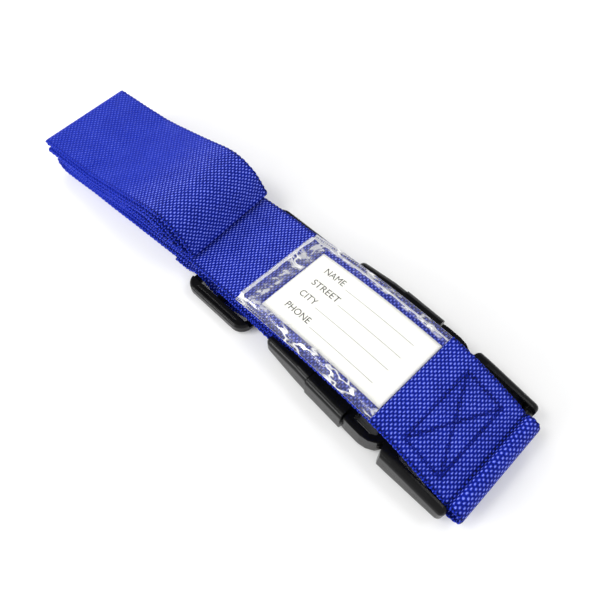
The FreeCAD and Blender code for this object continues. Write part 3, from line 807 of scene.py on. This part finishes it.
def build_webbing():
    web = webbing_material("blue_webbing")
    pressed = webbing_material("pressed_webbing", pressed_before=-0.122)
    bundle = web_mesh("bundle", bundle_path(), BUNDLE_TURN, pressed)
    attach(bundle, "plug_and_bundle")
    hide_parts("webbing_bundle")

    dents = seam_dents(tab_seams(), RUN_TURN[0][1])
    run = web_mesh("window_run", run_path(), RUN_TURN, web, columns=61, dents=dents)
    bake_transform(run)
    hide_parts("webbing_window_run")

    knots = adjuster_path()
    length = path_samples(knots, WEB_SPACING)[3][-1]
    near = web_mesh("adjuster_run", knots, ADJUSTER_TURN, web, cut=(0, ADJUSTER_SPLIT))
    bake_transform(near)
    far = web_mesh("adjuster_loop", knots, ADJUSTER_TURN, web, cut=(ADJUSTER_SPLIT - WEB_SPACING, length))
    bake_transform(far)
    for piece, flat in ((near, ADJUSTER_SPLIT), (far, length - ADJUSTER_SPLIT)):
        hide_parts("webbing_adjuster_run")


def build_sewing():
    thread = thread_material()
    box = stitches("tab_stitches", tab_path(), tab_seams(), RUN_TURN, thread)
    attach(box, "socket_side")
    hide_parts("tab_stitching")
    rows = [((x, -22.0), (x, 22.0)) for x in SLIDER_SEAMS_X]
    loop = stitches("slider_loop_stitches", adjuster_back_path(), rows, ADJUSTER_TURN, thread)
    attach(loop, "slider")
    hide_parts("slider_loop_stitching")


def build_card_and_window():
    card = id_card(card_material())
    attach(card, "card")
    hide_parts("id_card")
    for piece in card_print(ink_material("ink", 0.02), ink_material("pale_ink", 0.13)):
        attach(piece, "card")
    film = window_film(vinyl_material())
    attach(film, "socket_side")
    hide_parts("id_window")


def soft_box(name, place, aim, size, power):
    """A rectangular area light turned towards a point."""
    light = bpy.data.lights.new(name, "AREA")
    light.shape = "RECTANGLE"
    light.size, light.size_y = size
    light.energy = power
    holder = bpy.data.objects.new(name, light)
    holder.location = place
    holder.rotation_euler = (Vector(aim) - Vector(place)).to_track_quat("-Z", "Y").to_euler()
    bpy.context.scene.collection.objects.link(holder)


def build_world():
    """A bright surround with one darker patch high at the back, which keeps glossy tops dark."""
    world = bpy.data.worlds.new("studio")
    bpy.context.scene.world = world
    world.use_nodes = True
    background = world.node_tree.nodes["Background"]
    background.inputs["Strength"].default_value = 0.88
    nodes, links = world.node_tree.nodes, world.node_tree.links
    toward = nodes.new("ShaderNodeTexCoord").outputs["Generated"]
    facing = nodes.new("ShaderNodeVectorMath")
    facing.operation = "DOT_PRODUCT"
    facing.inputs[1].default_value = (-0.368, 0.351, 0.861)
    links.new(toward, facing.inputs[0])
    shade = nodes.new("ShaderNodeMapRange")
    for key, v in zip(("From Min", "From Max", "To Min", "To Max"), (0.72, 0.93, 1.0, 0.22)):
        shade.inputs[key].default_value = v
    links.new(facing.outputs["Value"], shade.inputs["Value"])
    links.new(shade.outputs["Result"], background.inputs["Color"])


def build_stage():
    """A pale floor, the surround and soft boxes."""
    s = Shader("pale_floor", Roughness=0.9, Specular_IOR_Level=0.1)
    coordinates = s.place()
    whites = [(0.3, (0.955, 0.955, 0.955)), (0.7, (0.97, 0.97, 0.97))]
    s.put(s.bsdf.inputs["Base Color"], s.ramp(s.noise(coordinates, 40.0), whites))
    corners = [(FLOOR_REACH * x, FLOOR_REACH * y, FLOOR_Z) for x, y in ((-1, -1), (1, -1), (1, 1), (-1, 1))]
    floor = make_object("floor", corners, [(0, 1, 2, 3)], s.material, smooth=False)
    build_world()
    aim = (-0.04, 0.0, 0.01)
    soft_box("left_front_box", (-0.46, -0.55, 1.0), aim, (0.36, 0.36), 3.2)
    soft_box("back_right_box", (0.33, 0.45, 1.1), aim, (0.34, 0.3), 1.8)
    soft_box("back_box", (-0.42, 0.95, 0.5), aim, (0.5, 0.25), 1.8)
    soft_box("left_box", (-1.0, 0.4, 0.5), aim, (0.4, 0.3), 1.8)
    soft_box("near_box", (-0.45, -0.95, 0.4), aim, (0.7, 0.28), 7.5)


def build_camera():
    azimuth, elevation, roll = (math.radians(a) for a in (46.416, 59.444, 0.709))
    level = math.cos(elevation)
    back = Vector((math.sin(azimuth) * level, -math.cos(azimuth) * level, math.sin(elevation)))
    right = Vector((math.cos(azimuth), math.sin(azimuth), 0.0))
    up = back.cross(right)
    across = right * math.cos(roll) + up * math.sin(roll)
    above = up * math.cos(roll) - right * math.sin(roll)
    data = bpy.data.cameras.new("camera")
    data.sensor_width = 36.0
    data.lens = 33.99
    data.clip_start = 0.01
    data.clip_end = 50.0
    camera = bpy.data.objects.new("camera", data)
    turn = Matrix((across, above, back)).transposed().to_4x4()
    aim, distance = Vector((-0.043605, -0.001595, 0.0)), 0.257347
    camera.matrix_world = Matrix.Translation(aim + back * distance) @ turn
    bpy.context.scene.collection.objects.link(camera)
    bpy.context.scene.camera = camera


build_camera()
build_stage()
dress_cad_nodes(plastic_material())
build_webbing()
build_sewing()
build_card_and_window()
bpy.context.scene.view_settings.view_transform = "Standard"
